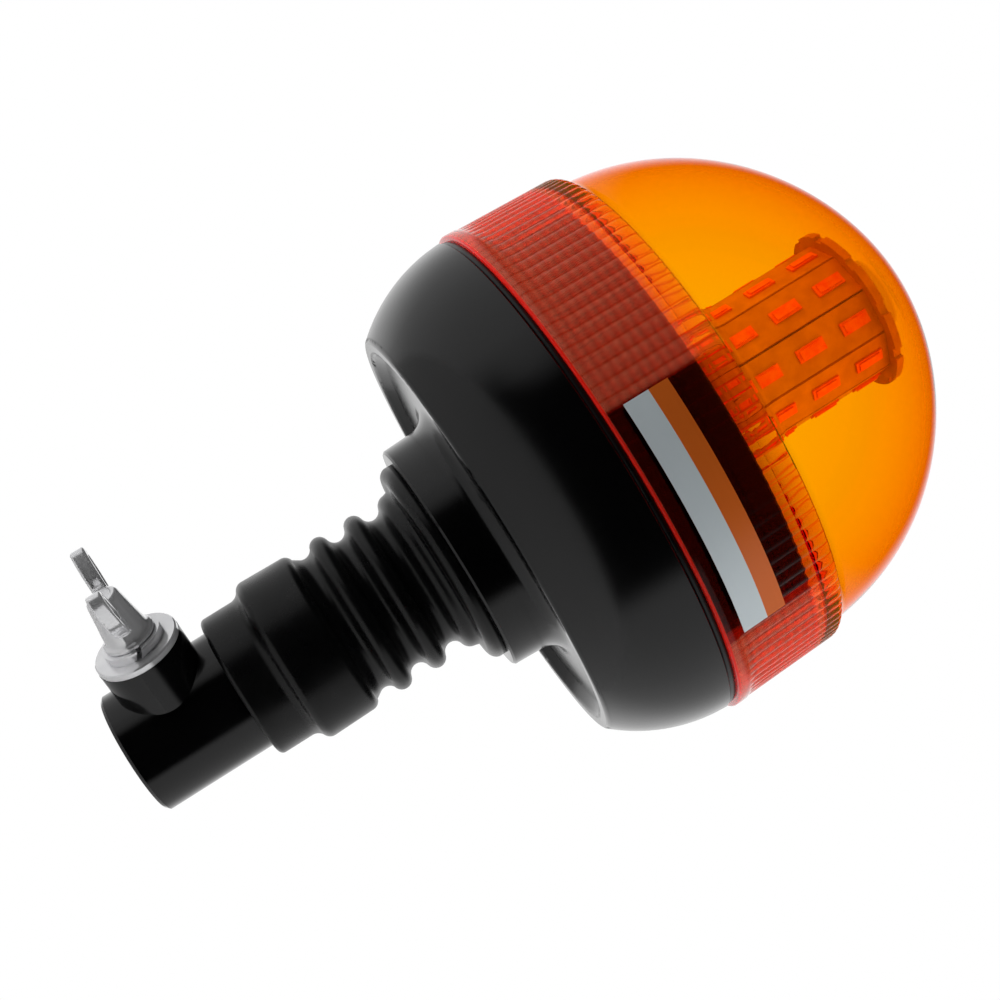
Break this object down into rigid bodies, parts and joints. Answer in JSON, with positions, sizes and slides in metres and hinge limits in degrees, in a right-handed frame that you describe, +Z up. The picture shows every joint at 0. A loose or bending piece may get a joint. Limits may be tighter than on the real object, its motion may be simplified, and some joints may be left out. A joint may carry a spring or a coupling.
{
  "type": "rotating beacon",
  "caption": "Amber LED warning beacon: fluted dome lens on a black bowl housing, on a bending rubber stem with a pole socket and wing clamp screw.",
  "frame": {"origin": "centre of the pole socket's mouth, at the bottom of the mount tube", "axes": "+Z up the beacon's axis to the dome; the clamp screw points along -X"},
  "size_m": [0.1304, 0.1304, 0.2113],
  "materials": {
    "black_paint": "gloss black paint on steel",
    "zinc": "bright zinc plate",
    "screw_steel": "plated steel",
    "brass": "bright turned brass",
    "black_nylon": "moulded black polyamide",
    "black_rubber": "semi-gloss moulded rubber",
    "black_housing": "smooth semi-gloss black moulding",
    "amber_lens": "clear amber polycarbonate, fluted band",
    "circuit_board": "light circuit laminate seen through amber",
    "led": "LED package",
    "core_aluminium": "mill finish",
    "component_black": "moulded component body",
    "terminal_green": "moulded terminal",
    "red_insulation": "wire insulation",
    "black_insulation": "wire insulation"
  },
  "bodies": {
    "mount": {"mount_tube": "black_paint", "clamp_boss": "black_paint", "contact_block": "black_nylon", "ground_ring": "brass", "ring_rivets": "brass", "contact_spring": "screw_steel", "contact_cap": "black_nylon", "stem_boot": "black_rubber", "supply_lead": "red_insulation", "earth_lead": "black_insulation"},
    "clamp_washers": {"flat_washer": "zinc", "spring_washer": "zinc"},
    "clamp_screw": {"wing_bolt": "zinc"},
    "contact_pin": {"contact_plunger": "brass"},
    "head": {"stem_insert": "screw_steel", "stem_screws": "screw_steel", "wire_grommet": "black_rubber", "base_housing": "black_housing", "chassis_plate": "black_nylon", "plate_screws": "screw_steel", "driver_board": "circuit_board", "board_screws": "screw_steel", "capacitors": "core_aluminium", "inductor": "component_black", "terminal_block": "terminal_green", "control_chips": "component_black", "tower_core": "core_aluminium", "top_disc": "circuit_board", "top_screw": "screw_steel", "led_strip_01": "circuit_board", "led_strip_02": "circuit_board", "led_strip_03": "circuit_board", "led_strip_04": "circuit_board", "led_strip_05": "circuit_board", "led_strip_06": "circuit_board", "led_strip_07": "circuit_board", "led_strip_08": "circuit_board", "led_strip_09": "circuit_board", "led_strip_10": "circuit_board", "led_row_01": "led", "led_row_02": "led", "led_row_03": "led", "led_row_04": "led", "led_row_05": "led", "led_row_06": "led", "led_row_07": "led", "led_row_08": "led", "led_row_09": "led", "led_row_10": "led"},
    "seal": {"lens_gasket": "black_rubber"},
    "lens_cap": {"lens": "amber_lens"}
  },
  "joints": [
    {"name": "neck_flex", "type": "hinge", "parent": "mount", "child": "head", "pos_m": [0, 0, 0.0685], "axis": [0, 1, 0], "range_deg": [-30, 30], "stiffness_Nm_per_rad": 6, "deforming": ["stem_boot", "supply_lead", "earth_lead"]},
    {"name": "lens_rise", "type": "slide", "parent": "head", "child": "seal", "axis": [0, 0, 1], "range_m": [0, 0.0121]},
    {"name": "lens_turn", "type": "hinge", "parent": "seal", "child": "lens_cap", "pos_m": [0, 0, 0.1234], "axis": [0, 0, 1], "range_deg": [0, 1440]},
    {"name": "clamp_travel", "type": "slide", "parent": "mount", "child": "clamp_washers", "axis": [-1, 0, 0], "range_m": [0, 0.00625]},
    {"name": "clamp_turn", "type": "hinge", "parent": "clamp_washers", "child": "clamp_screw", "pos_m": [-0.0271, 0, 0.0147], "axis": [-1, 0, 0], "range_deg": [0, 1800]},
    {"name": "contact_press", "type": "slide", "parent": "mount", "child": "contact_pin", "axis": [0, 0, 1], "range_m": [0, 0.0026], "stiffness_N_per_m": 700, "springref_m": -0.003, "deforming": ["contact_spring"]}
  ],
  "couplings": [
    {"joint": "lens_rise", "follows": "lens_turn", "m_per_rad": 0.00047746},
    {"joint": "clamp_turn", "follows": "clamp_travel", "rad_per_m": 5026.5}
  ]
}
